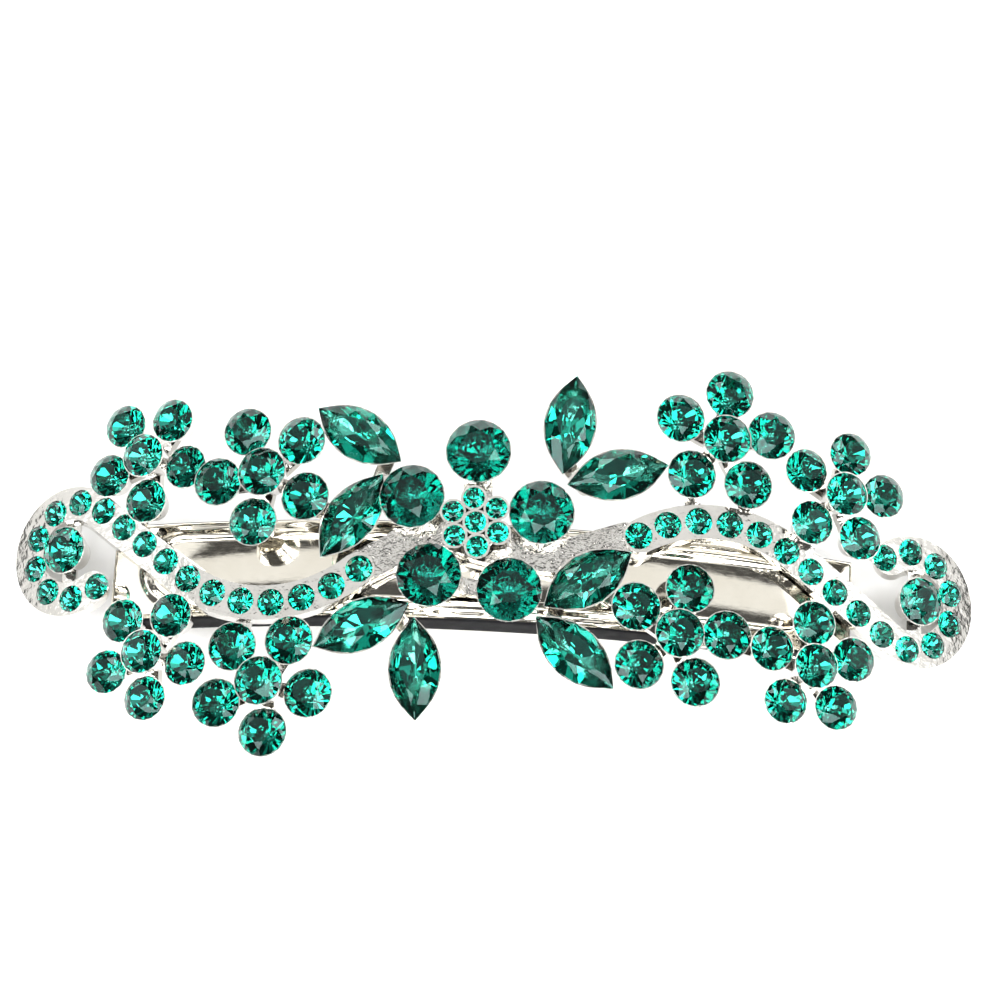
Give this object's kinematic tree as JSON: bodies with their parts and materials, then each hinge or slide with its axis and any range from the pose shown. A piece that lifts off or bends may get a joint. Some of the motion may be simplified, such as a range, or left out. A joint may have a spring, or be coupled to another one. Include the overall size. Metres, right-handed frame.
{
  "type": "rhinestone hair clip",
  "caption": "Arched openwork hair ornament of cut-glass flowers, leaves and scrolls on a spring barrette clip with a swing arm and pinch clasp.",
  "frame": {"origin": "on the swing arm's flat underside, in the clip's middle plane, under the crown of the arched base plate", "axes": "+X along the clip from the hinge to the clasp, +Z out of the stones, +Y across the clip"},
  "size_m": [0.0967, 0.0416, 0.0189],
  "materials": {
    "nickel_steel": "bright nickel-plated pressed steel",
    "spring_steel": "nickel-plated spring steel strip",
    "solder": "dull tin solder",
    "emerald_glass": "foil-backed emerald green cut glass",
    "cast_silver": "bright silver-plated zinc casting"
  },
  "bodies": {
    "clip_base": {"base_plate": "nickel_steel", "centre_branch": "cast_silver", "clasp_bracket": "nickel_steel", "hinge_pin": "nickel_steel", "left_large_stone": "emerald_glass", "left_loop_stone": "emerald_glass", "left_scroll": "cast_silver", "left_scroll_stones": "emerald_glass", "lower_left_inner_flower": "cast_silver", "lower_left_inner_flower_stones": "emerald_glass", "lower_left_large_stone": "emerald_glass", "lower_left_leaf_stones": "emerald_glass", "lower_left_leaves": "cast_silver", "lower_left_outer_flower": "cast_silver", "lower_left_outer_flower_stones": "emerald_glass", "lower_right_inner_flower": "cast_silver", "lower_right_inner_flower_stones": "emerald_glass", "lower_right_large_stone": "emerald_glass", "lower_right_leaf_stones": "emerald_glass", "lower_right_leaves": "cast_silver", "lower_right_outer_flower": "cast_silver", "lower_right_outer_flower_stones": "emerald_glass", "right_large_stone": "emerald_glass", "right_loop_stone": "emerald_glass", "right_scroll": "cast_silver", "right_scroll_stones": "emerald_glass", "solder_pads": "solder", "tiny_flower": "cast_silver", "tiny_flower_stones": "emerald_glass", "top_large_stone": "emerald_glass", "upper_left_inner_flower": "cast_silver", "upper_left_inner_flower_stones": "emerald_glass", "upper_left_leaf_stones": "emerald_glass", "upper_left_leaves": "cast_silver", "upper_left_outer_flower": "cast_silver", "upper_left_outer_flower_stones": "emerald_glass", "upper_right_inner_flower": "cast_silver", "upper_right_inner_flower_stones": "emerald_glass", "upper_right_leaf_stones": "emerald_glass", "upper_right_leaves": "cast_silver", "upper_right_outer_flower": "cast_silver", "upper_right_outer_flower_stones": "emerald_glass"},
    "arm": {"swing_arm": "nickel_steel"},
    "tension_spring": {"tension_bar": "spring_steel"},
    "front_finger": {"front_clasp_finger": "spring_steel"},
    "back_finger": {"back_clasp_finger": "spring_steel"}
  },
  "joints": [
    {"name": "arm_swing", "type": "hinge", "parent": "clip_base", "child": "arm", "pos_m": [-0.03366, 0, 0.00411], "axis": [0, 1, 0], "range_deg": [0, 75]},
    {"name": "tension_bar_flex", "type": "hinge", "parent": "clip_base", "child": "tension_spring", "pos_m": [-0.03366, 0, 0.00411], "axis": [0, 1, 0], "range_deg": [-2, 0], "stiffness_Nm_per_rad": 0.05},
    {"name": "front_finger_pinch", "type": "hinge", "parent": "clip_base", "child": "front_finger", "pos_m": [0.0326, -0.001, 0.00504], "axis": [1, 0, 0], "range_deg": [0, 6], "stiffness_Nm_per_rad": 0.01},
    {"name": "back_finger_pinch", "type": "hinge", "parent": "clip_base", "child": "back_finger", "pos_m": [0.0326, 0.001, 0.00504], "axis": [1, 0, 0], "range_deg": [-6, 0], "stiffness_Nm_per_rad": 0.01}
  ],
  "couplings": [
    {"joint": "back_finger_pinch", "follows": "front_finger_pinch", "ratio": -1}
  ]
}
